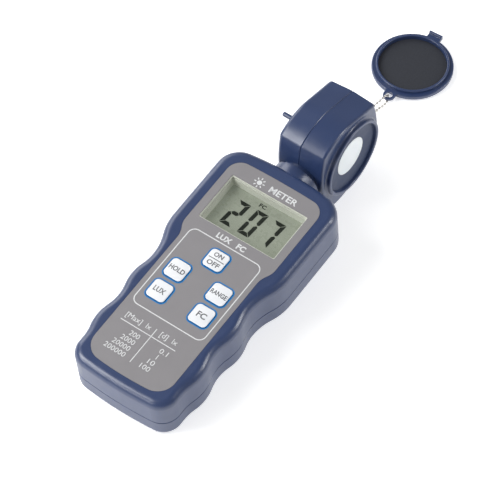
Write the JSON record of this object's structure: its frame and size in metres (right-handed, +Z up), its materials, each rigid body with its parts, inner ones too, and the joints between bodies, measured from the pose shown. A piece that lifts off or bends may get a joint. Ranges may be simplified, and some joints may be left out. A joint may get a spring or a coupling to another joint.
{
  "type": "handheld light meter",
  "caption": "Handheld light meter: a narrow-waisted two-shell body with display and keys, a swivelling sensor head and a chained sensor cap.",
  "frame": {"origin": "middle of the footprint on the table that the meter and its cap lie on", "axes": "+Z up from the table, +Y along the meter from its front end to the sensor head, +X to the right of the display"},
  "size_m": [0.0704, 0.2882, 0.0554],
  "materials": {
    "casing_blue": "satin",
    "head_blue": "satin",
    "label_grey": "matte",
    "window_clear": "clear",
    "display_glass": "satin",
    "display_frame": "matte",
    "key_white": "satin",
    "rubber_black": "matte",
    "board_green": "satin",
    "part_black": "matte",
    "steel": "brushed",
    "chain_nickel": "polished",
    "battery_case": "gloss",
    "lead_insulation": "matte",
    "bush_acetal": "satin",
    "sensor_blue": "matte",
    "opal_white": "matte",
    "filter_green": "clear",
    "liner_black": "matte"
  },
  "bodies": {
    "casing": {"front_casing": "casing_blue", "rear_casing": "casing_blue", "casing_screws": "steel", "label_panel": "label_grey", "lcd_frame": "display_frame", "window_lens": "window_clear", "lcd_glass": "display_glass", "zebra_strips": "rubber_black", "main_board": "board_green", "board_screws": "steel", "tact_switches": "part_black", "main_chip": "part_black", "board_parts": "steel", "battery": "battery_case", "battery_snap": "part_black", "battery_leads": "lead_insulation", "neck_bush": "bush_acetal", "friction_washer": "steel", "chain_eye": "chain_nickel", "ball_chain": "chain_nickel", "chain_coupling": "chain_nickel"},
    "head": {"swivel_spindle": "head_blue", "retaining_clip": "steel", "head_front_shell": "head_blue", "head_rear_shell": "head_blue", "head_screws": "steel", "sensor_plate": "sensor_blue", "diffuser": "opal_white", "sensor_holder": "part_black", "optical_filter": "filter_green", "photodiode": "part_black", "sensor_board": "board_green", "sensor_cable": "rubber_black"},
    "on_off_key": {"on_off_key": "key_white"},
    "hold_key": {"hold_key": "key_white"},
    "range_key": {"range_key": "key_white"},
    "lux_key": {"lux_key": "key_white"},
    "fc_key": {"fc_key": "key_white"},
    "battery_door": {"battery_door": "casing_blue"},
    "cap": {"sensor_cap": "head_blue", "cap_liner": "liner_black"}
  },
  "joints": [
    {"name": "head_swivel", "type": "hinge", "parent": "casing", "child": "head", "pos_m": [0, 0.00857, 0.0262], "axis": [0, 0.9966, 0.0819], "range_deg": [-180, 0]},
    {"name": "on_off_key_press", "type": "slide", "parent": "casing", "child": "on_off_key", "axis": [0, 0.0819, -0.9966], "range_m": [0, 0.0006], "stiffness_N_per_m": 900, "springref_m": -0.0003},
    {"name": "hold_key_press", "type": "slide", "parent": "casing", "child": "hold_key", "axis": [0, 0.0819, -0.9966], "range_m": [0, 0.0006], "stiffness_N_per_m": 900, "springref_m": -0.0003},
    {"name": "range_key_press", "type": "slide", "parent": "casing", "child": "range_key", "axis": [0, 0.0819, -0.9966], "range_m": [0, 0.0006], "stiffness_N_per_m": 900, "springref_m": -0.0003},
    {"name": "lux_key_press", "type": "slide", "parent": "casing", "child": "lux_key", "axis": [0, 0.0819, -0.9966], "range_m": [0, 0.0006], "stiffness_N_per_m": 900, "springref_m": -0.0003},
    {"name": "fc_key_press", "type": "slide", "parent": "casing", "child": "fc_key", "axis": [0, 0.0819, -0.9966], "range_m": [0, 0.0006], "stiffness_N_per_m": 900, "springref_m": -0.0003},
    {"name": "door_release", "type": "slide", "parent": "casing", "child": "battery_door", "axis": [0, 0.0819, -0.9966], "range_m": [0, 0.02]},
    {"name": "cap_flip", "type": "hinge", "parent": "casing", "child": "cap", "pos_m": [-0.00325, 0.0952, 0.00285], "axis": [0.9986, 0.0523, 0], "range_deg": [0, 100], "deforming": ["ball_chain", "chain_coupling"]}
  ]
}
